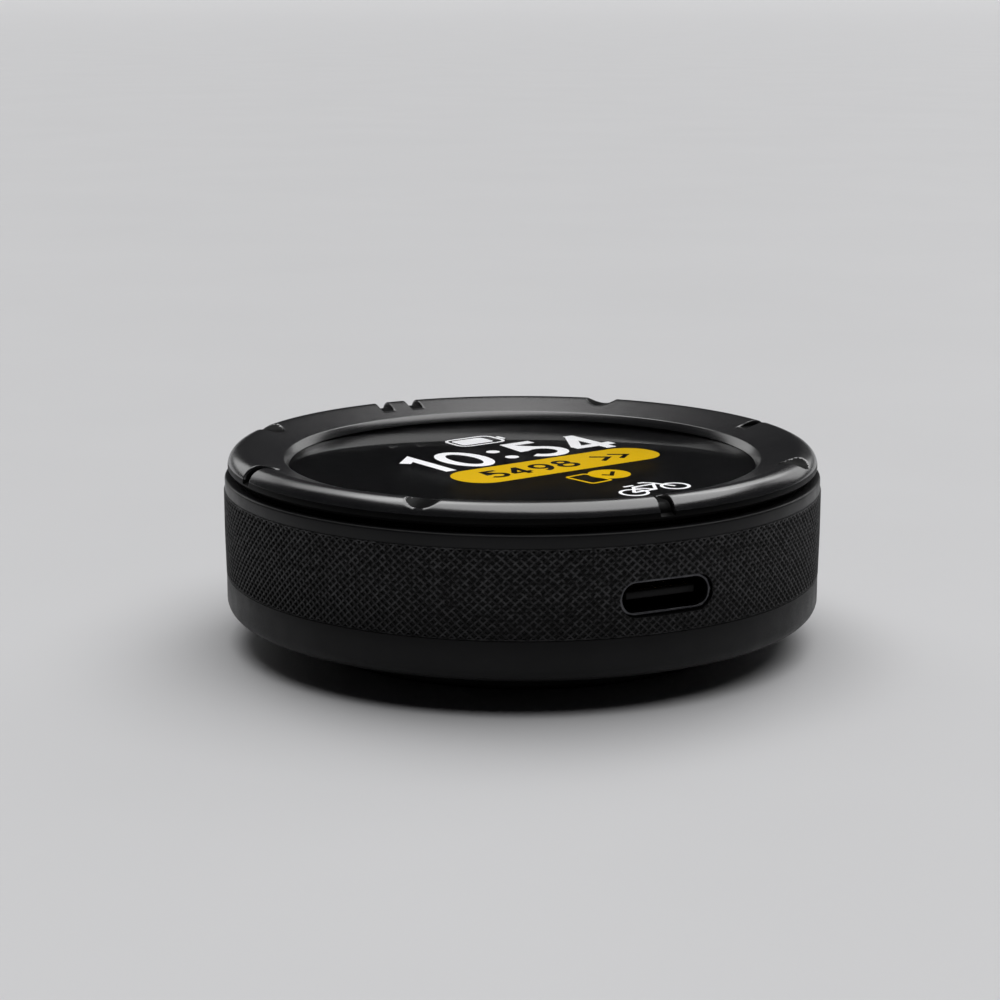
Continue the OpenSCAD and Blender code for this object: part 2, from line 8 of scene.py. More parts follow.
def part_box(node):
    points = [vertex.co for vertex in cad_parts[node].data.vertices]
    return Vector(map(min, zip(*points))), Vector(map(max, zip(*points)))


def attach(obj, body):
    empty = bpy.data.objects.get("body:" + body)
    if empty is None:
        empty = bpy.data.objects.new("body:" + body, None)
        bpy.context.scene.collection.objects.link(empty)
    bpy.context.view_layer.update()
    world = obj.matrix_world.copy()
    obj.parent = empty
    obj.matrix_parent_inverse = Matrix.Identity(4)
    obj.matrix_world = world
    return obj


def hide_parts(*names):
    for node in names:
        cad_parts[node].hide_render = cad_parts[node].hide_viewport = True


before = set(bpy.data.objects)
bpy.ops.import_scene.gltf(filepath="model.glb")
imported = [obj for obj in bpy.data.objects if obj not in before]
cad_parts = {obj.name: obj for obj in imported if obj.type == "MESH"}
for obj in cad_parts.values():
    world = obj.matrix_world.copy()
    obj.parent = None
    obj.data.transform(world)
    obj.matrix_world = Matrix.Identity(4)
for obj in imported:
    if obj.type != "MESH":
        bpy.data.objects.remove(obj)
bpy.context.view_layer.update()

scene = bpy.context.scene
scene.view_settings.view_transform = "Standard"

# ---- Camera: low and a little to the left of the charging port ----
# It stands about four case diameters away and looks down by twelve degrees.

LENS = 85
CAMERA_DISTANCE = 0.2184
CAMERA_HEIGHT = 0.06014
CAMERA_SIDE = radians(-26.5)
CAMERA_DOWN = radians(12.21)
CAMERA_AIM = radians(0.548)

lens_data = bpy.data.cameras.new("camera")
lens_data.lens = LENS
lens_data.sensor_width = 36
camera = bpy.data.objects.new("camera", lens_data)
scene.collection.objects.link(camera)
camera.location = (
    sin(CAMERA_SIDE) * CAMERA_DISTANCE,
    -cos(CAMERA_SIDE) * CAMERA_DISTANCE,
    CAMERA_HEIGHT,
)
camera.rotation_euler = (pi / 2 - CAMERA_DOWN, 0, CAMERA_SIDE + CAMERA_AIM)
scene.camera = camera


# ---- Floor and light ----
# A plain pale table under one very wide soft light, overhead and a little behind and to the right,
# with four weaker soft boxes far behind for the edges.

def shader_of(name):
    """A new material's node tree, its Principled shader and a coordinate node."""
    material = bpy.data.materials.new(name)
    material.use_nodes = True
    tree = material.node_tree
    place_node = tree.nodes.new("ShaderNodeTexCoord")
    return material, tree, tree.nodes["Principled BSDF"], place_node.outputs["Object"]


def noise(tree, where, size, detail=3.0, roughness=0.55):
    """Noise with features of about that size, in millimetres."""
    node = tree.nodes.new("ShaderNodeTexNoise")
    node.inputs["Scale"].default_value = 1000 / size
    node.inputs["Detail"].default_value = detail
    node.inputs["Roughness"].default_value = roughness
    tree.links.new(where, node.inputs["Vector"])
    return node.outputs["Fac"]


def spread(tree, value, low, high, start=0.3, end=0.7):
    """A value from start to end, spread over low to high."""
    node = tree.nodes.new("ShaderNodeMapRange")
    node.inputs["From Min"].default_value = start
    node.inputs["From Max"].default_value = end
    node.inputs["To Min"].default_value = low
    node.inputs["To Max"].default_value = high
    tree.links.new(value, node.inputs["Value"])
    return node.outputs["Result"]


def mixed(tree, share, first, second):
    """Two colours mixed by a share."""
    node = tree.nodes.new("ShaderNodeMix")
    node.data_type = "RGBA"
    tree.links.new(share, node.inputs["Factor"])
    for socket, colour in ((node.inputs["A"], first), (node.inputs["B"], second)):
        if isinstance(colour, tuple):
            socket.default_value = (*colour, 1)
        else:
            tree.links.new(colour, socket)
    return node.outputs["Result"]


def raised(tree, shader, heights, depth):
    """Bump: each height is a value, and depth is how high it stands, in millimetres."""
    before = None
    for height, rise in zip(heights, depth):
        node = tree.nodes.new("ShaderNodeBump")
        node.inputs["Distance"].default_value = rise / 1000
        tree.links.new(height, node.inputs["Height"])
        if before:
            tree.links.new(before, node.inputs["Normal"])
        before = node.outputs["Normal"]
    tree.links.new(before, shader.inputs["Normal"])


def table_top():
    """A pale painted top with a faint mottle."""
    material, tree, shader, where = shader_of("table_top")
    cloud = noise(tree, where, 60, 4)
    tint = mixed(tree, cloud, (0.58, 0.58, 0.59), (0.62, 0.62, 0.63))
    tree.links.new(tint, shader.inputs["Base Color"])
    shader.inputs["Roughness"].default_value = 0.6
    return material


FLOOR_HALF = 40
floor_mesh = bmesh.new()
bmesh.ops.create_grid(floor_mesh, x_segments=1, y_segments=1, size=FLOOR_HALF)
floor_data = bpy.data.meshes.new("floor")
floor_mesh.to_mesh(floor_data)
floor_mesh.free()
floor_data.materials.append(table_top())
floor = bpy.data.objects.new("floor", floor_data)
scene.collection.objects.link(floor)


def soft_light(name, size, power, side, height, distance):
    """A square area light aimed at the object, at a bearing, a height in degrees and a distance."""
    data = bpy.data.lights.new(name, "AREA")
    data.size = size
    data.energy = power
    light = bpy.data.objects.new(name, data)
    scene.collection.objects.link(light)
    turn, rise = radians(side), radians(height)
    spot = Vector((sin(turn) * cos(rise), -cos(turn) * cos(rise), sin(rise))) * distance
    light.location = spot
    light.rotation_euler = spot.to_track_quat("Z", "Y").to_euler()


SOFTBOX_AWAY = 20
soft_light("left_high_softbox", 11, 480, 188, 52, SOFTBOX_AWAY)
soft_light("left_low_softbox", 9, 300, 190, 19, SOFTBOX_AWAY)
soft_light("right_high_softbox", 7, 280, 129, 37, SOFTBOX_AWAY)
soft_light("right_low_softbox", 9, 300, 117, 19, SOFTBOX_AWAY)
sky_data = bpy.data.lights.new("wide_softbox", "SUN")
sky_data.energy = 2.6
sky_data.angle = radians(78)
sky = bpy.data.objects.new("wide_softbox", sky_data)
sky.rotation_euler = (radians(-3), radians(11), 0)
scene.collection.objects.link(sky)
world = bpy.data.worlds.new("world")
world.use_nodes = True
world.node_tree.nodes["Background"].inputs["Color"].default_value = (0.01, 0.01, 0.011, 1)
scene.world = world


# ---- Foot pad: a moulded rubber ring let into the foot ----
# Soft black rubber. Three shallow grooves round its underside grip the surface it stands on.

MM = 0.001
MERGE = 1e-4
ARC_STEPS = 3
ARC_STEPS_PER_MM = 8
SMOOTH_BELOW = radians(40)


def span(node):
    """A node's lowest and highest corner, in millimetres."""
    low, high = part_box(node)
    return low / MM, high / MM


def rounded(corners):
    """An outline whose corners (x, y, radius) are turned into arcs, finer the larger they are."""
    outline = []
    for i, (x, y, radius) in enumerate(corners):
        here = Vector((x, y))
        steps = ARC_STEPS + int(ARC_STEPS_PER_MM * radius)
        if not radius:
            outline.append(here)
            continue
        back = (Vector(corners[i - 1][:2]) - here).normalized()
        ahead = (Vector(corners[(i + 1) % len(corners)][:2]) - here).normalized()
        half = back.angle(ahead) / 2
        centre = here + (back + ahead).normalized() * radius / sin(half)
        first = here + back * radius / tan(half) - centre
        last = here + ahead * radius / tan(half) - centre
        outline += [centre + first.slerp(last, k / steps) * radius for k in range(steps + 1)]
    return outline


ARCS = 12


def turned(outline, steps=240):
    """A closed outline of (radius, height) turned into a ring, or into a disc where it meets the axis.

    One arc is spun and then copied round, which is far quicker than one long spin.
    """
    mesh = bmesh.new()
    points = [mesh.verts.new((r, 0, z)) for r, z in outline]
    sides = [mesh.edges.new(pair) for pair in zip(points, points[1:] + points[:1])]
    arc = 2 * pi / ARCS
    bmesh.ops.spin(
        mesh, geom=points + sides, cent=(0, 0, 0), axis=(0, 0, 1), angle=arc, steps=steps // ARCS,
    )
    bmesh.ops.spin(
        mesh, geom=mesh.verts[:] + mesh.edges[:] + mesh.faces[:], cent=(0, 0, 0), axis=(0, 0, 1),
        angle=2 * pi - arc, steps=ARCS - 1, use_duplicate=True,
    )
    bmesh.ops.remove_doubles(mesh, verts=mesh.verts, dist=MERGE)
    bmesh.ops.delete(mesh, geom=[e for e in mesh.edges if not e.link_faces], context="EDGES")
    bmesh.ops.recalc_face_normals(mesh, faces=mesh.faces)
    return mesh


def place(mesh, name, body, slot, material, *nodes):
    """Makes a mesh in millimetres into a finished piece, in metres, that rides on a body."""
    bmesh.ops.scale(mesh, vec=(MM, MM, MM), verts=mesh.verts)
    data = bpy.data.meshes.new(name)
    mesh.to_mesh(data)
    mesh.free()
    data.shade_smooth()
    data.set_sharp_from_angle(angle=SMOOTH_BELOW)
    data.materials.append(material)
    piece = bpy.data.objects.new(name, data)
    scene.collection.objects.link(piece)
    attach(piece, body)
    if nodes:
        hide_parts(*nodes)
    return piece


def rubber(name, colour, dusty, roughness, grain):
    """Matte rubber with fine grain and a trace of dust."""
    material, tree, shader, where = shader_of(name)
    cloud = spread(tree, noise(tree, where, 4, 5), 0, 1)
    fine = noise(tree, where, grain, 2)
    tree.links.new(mixed(tree, cloud, colour, dusty), shader.inputs["Base Color"])
    tree.links.new(spread(tree, fine, roughness - 0.08, roughness + 0.08), shader.inputs["Roughness"])
    shader.inputs["Specular IOR Level"].default_value = 0.2
    raised(tree, shader, (fine, cloud), (0.012, 0.01))
    return material


pad_high = span("foot_pad")[1]
PAD_OUTER = pad_high.x
PAD_INNER = 14.65
GROOVES = 3
GROOVE_HALF = 0.35
GROOVE_DEEP = 0.25
GROOVE_EDGE = 0.08
PAD_EDGE = 0.2

pad_corners = [(PAD_INNER, pad_high.z, 0), (PAD_INNER, 0, PAD_EDGE)]
for k in range(GROOVES):
    middle = PAD_INNER + (PAD_OUTER - PAD_INNER) * (k + 1) / (GROOVES + 1)
    pad_corners += [
        (middle - GROOVE_HALF, 0, GROOVE_EDGE), (middle - GROOVE_HALF / 2, GROOVE_DEEP, GROOVE_EDGE),
        (middle + GROOVE_HALF / 2, GROOVE_DEEP, GROOVE_EDGE), (middle + GROOVE_HALF, 0, GROOVE_EDGE),
    ]
pad_corners += [(PAD_OUTER, 0, PAD_EDGE), (PAD_OUTER, pad_high.z, 0)]
pad_rubber = rubber("pad_rubber", (0.016, 0.016, 0.017), (0.028, 0.028, 0.028), 0.75, 0.12)
place(turned(rounded(pad_corners)), "foot_pad_ring", "case", "pad_rubber", pad_rubber, "foot_pad")


# ---- Foot, its screws and the rear case ----
# Moulded black plastic with eased edges. The foot's socket has two locking lugs for a quarter turn,
# four screws under the pad hold it, and four more hold the rear case to the housing.

SHARP_ABOVE = radians(30)
FLAT_WITHIN = radians(0.05)


def eased(node, width, segments=2):
    """A copy of a node's mesh, in millimetres, with its sharp edges rounded off."""
    mesh = bmesh.new()
    mesh.from_mesh(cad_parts[node].data)
    bmesh.ops.scale(mesh, vec=(1 / MM, 1 / MM, 1 / MM), verts=mesh.verts)
    bmesh.ops.remove_doubles(mesh, verts=mesh.verts, dist=MERGE)
    bmesh.ops.dissolve_limit(mesh, angle_limit=FLAT_WITHIN, verts=mesh.verts, edges=mesh.edges)
    sharp = [e for e in mesh.edges if e.is_manifold and e.calc_face_angle() > SHARP_ABOVE]
    bmesh.ops.bevel(
        mesh, geom=sharp, offset=width, offset_type="OFFSET", segments=segments,
        profile=0.5, affect="EDGES", material=-1, clamp_overlap=True,
    )
    return mesh


def moulded(name, colour, lighter, roughness, grain, rise=0.006):
    """Moulded plastic: a spark-eroded grain, faint flow marks and slightly uneven gloss."""
    material, tree, shader, where = shader_of(name)
    cloud = spread(tree, noise(tree, where, 7, 4), 0, 1)
    fine = noise(tree, where, grain, 2)
    smear = noise(tree, where, 1.8, 4)
    tree.links.new(mixed(tree, cloud, colour, lighter), shader.inputs["Base Color"])
    gloss = tree.nodes.new("ShaderNodeMath")
    gloss.operation = "ADD"
    tree.links.new(spread(tree, fine, roughness - 0.05, roughness + 0.05), gloss.inputs[0])
    tree.links.new(spread(tree, smear, -0.05, 0.05), gloss.inputs[1])
    tree.links.new(gloss.outputs["Value"], shader.inputs["Roughness"])
    shader.inputs["Specular IOR Level"].default_value = 0.18
    raised(tree, shader, (fine,), (rise,))
    return material


def screw_steel():
    """Plated steel with turning marks and blotches of lighter and darker tone."""
    material, tree, shader, where = shader_of("screw_steel")
    blotch = spread(tree, noise(tree, where, 0.8, 5), 0, 1)
    scratch = noise(tree, where, 0.06, 2)
    tint = mixed(tree, blotch, (0.5, 0.5, 0.51), (0.66, 0.66, 0.67))
    tree.links.new(tint, shader.inputs["Base Color"])
    tree.links.new(spread(tree, scratch, 0.24, 0.4), shader.inputs["Roughness"])
    shader.inputs["Metallic"].default_value = 1
    raised(tree, shader, (scratch,), (0.003,))
    return material


case_plastic = moulded("case_plastic", (0.006, 0.006, 0.0065), (0.009, 0.009, 0.0095), 0.45, 0.14)
steel = screw_steel()
for node, width, slot, material in (
    ("mount_base", 0.15, "housing_plastic", case_plastic),
    ("rear_case", 0.1, "trim_plastic", case_plastic),
    ("base_screws", 0.06, "steel", steel),
    ("case_screws", 0.05, "steel", steel),
):
    place(eased(node, width), node + "_eased", "case", slot, material, node)


# ---- Grip band: a rubber sleeve with a moulded diamond lattice ----
# Black rubber bonded round the housing. Every diamond is a small pit between raised ridges,
# and the charging port's opening is cut through it.

GRIP_COLUMNS = 228
GRIP_ROWS = 11
GRIP_TAPER = 0.08
GRIP_RIM = 0.1
PIT_STEPS = ((0.05, -0.02), (0.05, -0.09), (0.05, -0.06))
PIT_AT = 0.02784
RIDGE_AT = 0.02798
PORT_GAP = 0.05
PORT_TOOL_DEEP = 8
PORT_TOOL_INSIDE = 2
ROUND_SLACK = 1e-3

grip_low, grip_high = span("grip_band")
shell_low, shell_high = span("usb_shell")
GRIP_INNER = span("main_housing")[1].x + 0.05


def grip_radius(z):
    """The band's outer radius, which tapers in below its middle."""
    middle = (grip_low.z + grip_high.z) / 2
    return grip_high.x - GRIP_TAPER * max(0, (middle - z) / (middle - grip_low.z))


def grip_lattice():
    """The whole band, with its outer wall divided into diamonds that are sunk in steps."""
    first, last = grip_low.z + GRIP_RIM, grip_high.z - GRIP_RIM
    levels = [first + (last - first) * k / GRIP_ROWS for k in range(GRIP_ROWS + 1)]
    outline = [(GRIP_INNER, grip_low.z), (grip_radius(grip_low.z) - GRIP_RIM, grip_low.z)]
    outline += [(grip_radius(z), z) for z in levels]
    outline += [(grip_high.x - GRIP_RIM, grip_high.z), (GRIP_INNER, grip_high.z)]
    mesh = turned(outline, GRIP_COLUMNS)
    rim = grip_high.x - GRIP_TAPER - GRIP_RIM / 2
    wall = {f for f in mesh.faces if all(hypot(v.co.x, v.co.y) > rim for v in f.verts)}
    squares = {e for f in wall for e in f.edges if wall.issuperset(e.link_faces)}
    bmesh.ops.poke(mesh, faces=list(wall))
    bmesh.ops.dissolve_edges(mesh, edges=list(squares), use_verts=False, use_face_split=False)
    diamonds = [f for f in mesh.faces if all(hypot(v.co.x, v.co.y) > rim for v in f.verts)]
    for width, depth in PIT_STEPS:
        bmesh.ops.inset_individual(
            mesh, faces=diamonds, thickness=width, depth=depth, use_even_offset=True,
        )
    return mesh


def grip_rubber_painted_highlight():
    """Matte rubber whose ridge tops are painted paler than its pits: a painted highlight on the ridges,
    speckled by noise.
    """
    material, tree, shader, where = shader_of("grip_rubber")
    flat = tree.nodes.new("ShaderNodeVectorMath")
    flat.operation = "MULTIPLY"
    flat.inputs[1].default_value = (1, 1, 0)
    tree.links.new(where, flat.inputs[0])
    radius = tree.nodes.new("ShaderNodeVectorMath")
    radius.operation = "LENGTH"
    tree.links.new(flat.outputs["Vector"], radius.inputs[0])
    # Painted highlight mask: none in the pits, full on the ridge tops.
    top = spread(tree, radius.outputs["Value"], 0, 1, PIT_AT, RIDGE_AT)
    highlight_speckle = noise(tree, where, 0.4, 3)
    fine = noise(tree, where, 0.1, 2)
    painted_ridge_highlight = tree.nodes.new("ShaderNodeMath")
    painted_ridge_highlight.operation = "MULTIPLY"
    tree.links.new(top, painted_ridge_highlight.inputs[0])
    tree.links.new(spread(tree, highlight_speckle, 0.05, 1, 0.4, 0.62), painted_ridge_highlight.inputs[1])
    # Near black in the pits, paler on the ridge tops: painted highlight.
    tint = mixed(tree, painted_ridge_highlight.outputs["Value"], (0.001, 0.001, 0.001), (0.055, 0.055, 0.057))
    tree.links.new(tint, shader.inputs["Base Color"])
    tree.links.new(spread(tree, fine, 0.4, 0.55), shader.inputs["Roughness"])
    shader.inputs["Specular IOR Level"].default_value = 0.22
    raised(tree, shader, (fine,), (0.01,))
    return material


def stadium(width, height):
    """The charging port's outline: a slot with round ends, about its own centre."""
    w, h = width / 2, height / 2
    end = h - ROUND_SLACK
    return rounded([(-w, -h, end), (w, -h, end), (w, h, end), (-w, h, end)])


def plate(outline, low, high):
    """A flat plate of that outline, between two heights."""
    mesh = bmesh.new()
    face = mesh.faces.new([mesh.verts.new((x, y, low)) for x, y in outline])
    grown = bmesh.ops.extrude_face_region(mesh, geom=[face], use_keep_orig=True)
    lifted = [v for v in grown["geom"] if isinstance(v, bmesh.types.BMVert)]
    bmesh.ops.translate(mesh, vec=(0, 0, high - low), verts=lifted)
    bmesh.ops.recalc_face_normals(mesh, faces=mesh.faces)
    return mesh


def cut(piece, tool):
    """Cuts one piece with another and throws the tool away."""
    knife = piece.modifiers.new("cut", "BOOLEAN")
    knife.object = tool
    knife.solver = "EXACT"
    bpy.context.view_layer.update()
    evaluated = piece.evaluated_get(bpy.context.evaluated_depsgraph_get())
    result = bpy.data.meshes.new_from_object(evaluated)
    piece.modifiers.clear()
    piece.data = result
    bpy.data.objects.remove(tool)


port_middle = (shell_low + shell_high) / 2
shell_size = shell_high - shell_low
port_outline = stadium(shell_size.x + 2 * PORT_GAP, shell_size.z + 2 * PORT_GAP)
port_tool = plate(port_outline, 0, PORT_TOOL_DEEP)
port_start = Matrix.Translation((0, -GRIP_INNER + PORT_TOOL_INSIDE, port_middle.z))
bmesh.ops.transform(
    port_tool, verts=port_tool.verts, matrix=port_start @ Matrix.Rotation(pi / 2, 4, "X"),
)
bmesh.ops.scale(port_tool, vec=(MM, MM, MM), verts=port_tool.verts)
tool_data = bpy.data.meshes.new("port_tool")
port_tool.to_mesh(tool_data)
port_tool.free()
tool_piece = bpy.data.objects.new("port_tool", tool_data)
scene.collection.objects.link(tool_piece)
grip = place(grip_lattice(), "grip_lattice", "case", "grip_rubber", grip_rubber_painted_highlight(), "grip_band")
cut(grip, tool_piece)


# ---- Trim ring and the soft lip in the rocking gap ----
# A plain satin ring holds the grip band's top edge. Inside it lies a thin flat rubber lip, which
# stands in for the CAD's taller soft seal and is low enough for the face to rock over it.

TRIM_STEPS = 480
trim_low, trim_high = span("upper_trim_ring")
trim_corners = [
    (GRIP_INNER, trim_low.z, 0), (trim_high.x, trim_low.z, 0.06),
    (trim_high.x, trim_high.z, 0.22), (GRIP_INNER, trim_high.z, 0.08),
]
trim_plastic = moulded(
    "trim_plastic", (0.006, 0.006, 0.0065), (0.009, 0.009, 0.0095), 0.36, 0.1, 0.004,
)
trim_mesh = turned(rounded(trim_corners), TRIM_STEPS)
place(trim_mesh, "trim_ring", "case", "trim_plastic", trim_plastic, "upper_trim_ring")

seal_low, seal_high = span("rocker_seal")
LIP_RISE = 0.04
LIP_WALL = 1.4
LIP_EDGE = 0.015
lip_corners = [
    (seal_high.x - LIP_WALL, seal_low.z, 0), (seal_high.x, seal_low.z, LIP_EDGE),
    (seal_high.x, seal_low.z + LIP_RISE, LIP_EDGE),
    (seal_high.x - LIP_WALL, seal_low.z + LIP_RISE, LIP_EDGE),
]
seal_rubber = rubber("seal_rubber", (0.01, 0.01, 0.01), (0.016, 0.016, 0.016), 0.6, 0.08)
place(turned(rounded(lip_corners)), "rocker_lip", "case", "seal_rubber", seal_rubber, "rocker_seal")


# ---- Bezel: turned, then milled with marker slots and scallops ----
# Black anodised metal. Its top falls toward the screen, a slot marks each quarter hour with a second
# one beside 12 o'clock, and a round cutter leaves a scallop half way between them. Its outer wall below
# the shoulder and its milled cuts are painted darker and less glossy as painted shade.

BEZEL_STEPS = 1440
SHOULDER = 1.55
DISH = radians(16.5)
DISH_PARTS = 12
WINDOW = 21.85
WINDOW_LIP = 0.55
SLOT_DEEP = 0.55
SLOT_EDGE = 1.0
SLOT_LEDGE = 0.4
SLOT_COLUMNS = (
    (0, 1), (0.12, 1), (0.24, 1), (0.36, 1), (0.48, 1), (0.58, 1),
    (0.63, 0.93), (0.67, 0.35), (0.72, 0.05), (0.8, 0),
)
SLOT_REACH = 14
SLOTS = ((0, 0), (90, 0), (90, 3.3), (180, 0), (270, 0))
SCALLOPS = (45, 135, 225, 315)
SCALLOP_R = 2.6
SCALLOP_DEEP = 0.55
SCALLOP_TILT = radians(5)
SCALLOP_START = 2.6
SCALLOP_BLEND = 0.06
MILLED_FROM = 0.04
PAINTED_SHADE_RISE = 0.3

bezel_low, bezel_high = span("bezel_ring")
lens_low, lens_high = span("lens")
LENS_GAP = 0.1
POCKET = lens_high.x + LENS_GAP
SHOULDER_AT = bezel_high.x - SHOULDER
SHOULDER_UP = bezel_high.z - SHOULDER
LEDGE_UP = bezel_low.z + SLOT_LEDGE
BEZEL_CHAMFER = 0.3


def dish_height(r):
    """Height of the bezel's sloping top at that radius."""
    crest_r = SHOULDER_AT - SHOULDER * sin(DISH)
    crest_z = SHOULDER_UP + SHOULDER * cos(DISH)
    return crest_z - (crest_r - r) * tan(DISH)


def bezel_outline():
    """The bezel's section: a chamfered foot, a round shoulder, the dish and a steep lip."""
    lip_r = WINDOW + WINDOW_LIP
    dish_end = SHOULDER_AT - SHOULDER * sin(DISH)
    dish = [dish_end + (lip_r - dish_end) * k / DISH_PARTS for k in range(1, DISH_PARTS)]
    corners = [
        (POCKET, bezel_low.z, 0), (bezel_high.x - BEZEL_CHAMFER, bezel_low.z, 0.05),
        (bezel_high.x, bezel_low.z + BEZEL_CHAMFER, 0.05),
        (bezel_high.x, dish_height(bezel_high.x), SHOULDER),
    ]
    corners += [(r, dish_height(r), 0) for r in dish]
    corners += [
        (lip_r, dish_height(lip_r), 0.14), (WINDOW, lens_high.z, 0.03), (POCKET, lens_high.z, 0),
    ]
    return rounded(corners)


def into_slot(r, z):
    """Where a slot's floor lies under a point of the bezel's outside."""
    floor_r, floor_z = bezel_high.x - SLOT_DEEP, bezel_high.z - SLOT_DEEP
    r, z = min(r, floor_r), min(z, floor_z)
    out, up = r - floor_r + SLOT_EDGE, z - floor_z + SLOT_EDGE
    far = hypot(out, up)
    if out > 0 and up > 0 and far > SLOT_EDGE:
        r -= out * (1 - SLOT_EDGE / far)
        z -= up * (1 - SLOT_EDGE / far)
    return r, z


def mill_slot(mesh, turn, offset):
    """Draws the columns near a slot parallel to it, sinks the ones inside it and returns those."""
    sunk = set()
    step = 2 * pi / BEZEL_STEPS
    middle = round((turn + asin(offset / SHOULDER_AT)) / step)
    for vert in mesh.verts:
        column = round(atan2(vert.co.y, vert.co.x) / step) - middle
        column = (column + BEZEL_STEPS // 2) % BEZEL_STEPS - BEZEL_STEPS // 2
        if abs(column) > SLOT_REACH:
            continue
        r, z = hypot(vert.co.x, vert.co.y), vert.co.z
        side = 1 if column > 0 else -1
        if abs(column) < len(SLOT_COLUMNS):
            across, share = SLOT_COLUMNS[abs(column)]
            across = offset + side * across
        else:
            last = len(SLOT_COLUMNS) - 1
            near = offset + side * SLOT_COLUMNS[last][0]
            away = r * sin((middle + column) * step - turn)
            across = near + (away - near) * (abs(column) - last) / (SLOT_REACH - last)
            share = 0
        if share and z > LEDGE_UP:
            floor_r, floor_z = into_slot(r, z)
            if share * hypot(floor_r - r, floor_z - z) > MILLED_FROM:
                sunk.add(vert)
            r += (floor_r - r) * share
            z += (floor_z - z) * share
        along = (r * r - across * across) ** 0.5
        vert.co = (along * cos(turn) - across * sin(turn), along * sin(turn) + across * cos(turn), z)
    return sunk


def mill_scallop(mesh, turn):
    """Presses the path of a round cutter into the crest and returns what it touched."""
    sunk = set()
    axis_up = bezel_high.z - SCALLOP_DEEP + SCALLOP_R
    for vert in mesh.verts:
        along = vert.co.x * cos(turn) + vert.co.y * sin(turn)
        across = vert.co.y * cos(turn) - vert.co.x * sin(turn)
        if along < SHOULDER_AT - SCALLOP_START or abs(across) >= SCALLOP_R:
            continue
        fall = (along - SHOULDER_AT) * tan(SCALLOP_TILT)
        floor = axis_up - fall - (SCALLOP_R ** 2 - across ** 2) ** 0.5 / cos(SCALLOP_TILT)
        share = min(1, max(0, 0.5 + 0.5 * (floor - vert.co.z) / SCALLOP_BLEND))
        vert.co.z = floor + (vert.co.z - floor) * share - SCALLOP_BLEND * share * (1 - share)
        if share < 0.5:
            sunk.add(vert)
    return sunk


def bezel_black():
    """Gloss black anodising over fine turning lines, a little rubbed."""
    material, tree, shader, where = shader_of("bezel_black")
    parts = tree.nodes.new("ShaderNodeSeparateXYZ")
    tree.links.new(where, parts.inputs["Vector"])
    flat = tree.nodes.new("ShaderNodeCombineXYZ")
    tree.links.new(parts.outputs["X"], flat.inputs["X"])
    tree.links.new(parts.outputs["Y"], flat.inputs["Y"])
    radius = tree.nodes.new("ShaderNodeVectorMath")
    radius.operation = "LENGTH"
    tree.links.new(flat.outputs["Vector"], radius.inputs[0])
    section = tree.nodes.new("ShaderNodeCombineXYZ")
    tree.links.new(radius.outputs["Value"], section.inputs["X"])
    tree.links.new(parts.outputs["Z"], section.inputs["Z"])
    lines = noise(tree, section.outputs["Vector"], 0.06, 2)
    cloud = spread(tree, noise(tree, where, 5, 4), 0, 1)
    smear = noise(tree, where, 1.5, 5)
    tint = mixed(tree, cloud, (0.008, 0.008, 0.009), (0.012, 0.012, 0.013))
    tree.links.new(tint, shader.inputs["Base Color"])
    gloss = tree.nodes.new("ShaderNodeMath")
    gloss.operation = "ADD"
    tree.links.new(spread(tree, lines, 0.22, 0.25), gloss.inputs[0])
    tree.links.new(spread(tree, smear, -0.008, 0.012), gloss.inputs[1])
    tree.links.new(gloss.outputs["Value"], shader.inputs["Roughness"])
    shader.inputs["IOR"].default_value = 2.1
    raised(tree, shader, (lines,), (0.0004,))
    return material


bezel = turned(bezel_outline(), BEZEL_STEPS)
milled = set()
for turn, offset in SLOTS:
    milled |= mill_slot(bezel, radians(turn), offset)
for turn in SCALLOPS:
    milled |= mill_scallop(bezel, radians(turn))
# The outer wall below the shoulder and every milled face take a darker, less glossy copy of the bezel
# black: painted shade.
for face in bezel.faces:
    middle = face.calc_center_median()
    under = middle.z < SHOULDER_UP + PAINTED_SHADE_RISE and hypot(middle.x, middle.y) > SHOULDER_AT
    face.material_index = 1 if under or milled.issuperset(face.verts) else 0
bezel_piece = place(bezel, "bezel", "face", "bezel_metal", bezel_black(), "bezel_ring")
# The painted shade copy of the bezel black: darker, with almost no specular.
bezel_painted_shade = moulded("bezel_painted_shade", (0.002, 0.002, 0.002), (0.004, 0.004, 0.004), 0.4, 0.1, 0.003)
bezel_painted_shade.node_tree.nodes["Principled BSDF"].inputs["Specular IOR Level"].default_value = 0.05
bezel_piece.data.materials.append(bezel_painted_shade)


# ---- Lens and the lit screen under it ----
# Clear hard glass with a ground edge. A black film is bonded to its underside, and the screen's
# figures are lit pieces on that film: the time, a yellow bar, a battery, a badge and a bicycle.

FILM_UP = 0.01
FILM_T = 0.03
FILM_INSET = 0.15
FIGURE_T = 0.015
SCREEN_TURN = radians(10.5)
SCREEN_RIGHT = 3.1
SCREEN_UP = 0.35
LINE = 0.32
LAYER = 0.002
SCREEN_CELL = 0.12
CIRCLE_POINTS = 32
SHARPEST_MITRE = 0.4


def clear_glass():
    """Coated glass that hardly reflects, with faint smears that only its gloss shows."""
    material, tree, shader, where = shader_of("clear_glass")
    smear = noise(tree, where, 6, 5)
    tree.links.new(spread(tree, smear, 0.015, 0.05), shader.inputs["Roughness"])
    cloud = noise(tree, where, 20, 2)
    tint = mixed(tree, cloud, (0.93, 0.94, 0.95), (0.96, 0.96, 0.96))
    tree.links.new(tint, shader.inputs["Base Color"])
    shader.inputs["Transmission Weight"].default_value = 1
    shader.inputs["IOR"].default_value = 1.12
    return material


